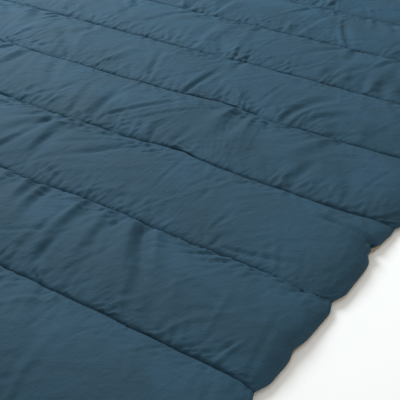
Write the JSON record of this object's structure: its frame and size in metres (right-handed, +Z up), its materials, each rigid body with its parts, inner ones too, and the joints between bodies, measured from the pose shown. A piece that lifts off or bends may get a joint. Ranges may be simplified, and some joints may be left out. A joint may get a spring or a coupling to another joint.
{
  "type": "quilted camp blanket",
  "caption": "Rectangular quilted blanket in a teal woven shell with a pale lining, padded in channels across its width, lying open and folding in half at its middle row.",
  "frame": {"origin": "on the surface it lies on, under the middle of the blanket", "axes": "+Z up, X along the quilting rows, +Y from the foot towards the head"},
  "size_m": [1.4, 2, 0.03],
  "materials": {
    "face_cloth": "woven polyester, low sheen",
    "lining_cloth": "brushed polyester, matt",
    "wadding": "white fibre batt",
    "needle_thread": "spun polyester thread, teal",
    "bobbin_thread": "spun polyester thread, beige"
  },
  "bodies": {
    "foot_half": {"face_cloth_foot": "face_cloth", "lining_cloth_foot": "lining_cloth", "wadding_01": "wadding", "wadding_02": "wadding", "wadding_03": "wadding", "wadding_04": "wadding", "wadding_05": "wadding", "needle_thread_01": "needle_thread", "needle_thread_02": "needle_thread", "needle_thread_03": "needle_thread", "needle_thread_04": "needle_thread", "needle_thread_05": "needle_thread", "bobbin_thread_01": "bobbin_thread", "bobbin_thread_02": "bobbin_thread", "bobbin_thread_03": "bobbin_thread", "bobbin_thread_04": "bobbin_thread", "bobbin_thread_05": "bobbin_thread", "edge_thread_foot": "needle_thread", "edge_thread_left_foot": "needle_thread", "edge_thread_right_foot": "needle_thread"},
    "head_half": {"face_cloth_head": "face_cloth", "lining_cloth_head": "lining_cloth", "wadding_06": "wadding", "wadding_07": "wadding", "wadding_08": "wadding", "wadding_09": "wadding", "wadding_10": "wadding", "needle_thread_06": "needle_thread", "needle_thread_07": "needle_thread", "needle_thread_08": "needle_thread", "needle_thread_09": "needle_thread", "bobbin_thread_06": "bobbin_thread", "bobbin_thread_07": "bobbin_thread", "bobbin_thread_08": "bobbin_thread", "bobbin_thread_09": "bobbin_thread", "edge_thread_head": "needle_thread", "edge_thread_left_head": "needle_thread", "edge_thread_right_head": "needle_thread"}
  },
  "joints": [
    {"name": "half_fold", "type": "hinge", "parent": "foot_half", "child": "head_half", "pos_m": [0, 0, 0.0305], "axis": [1, 0, 0], "range_deg": [0, 179]}
  ]
}
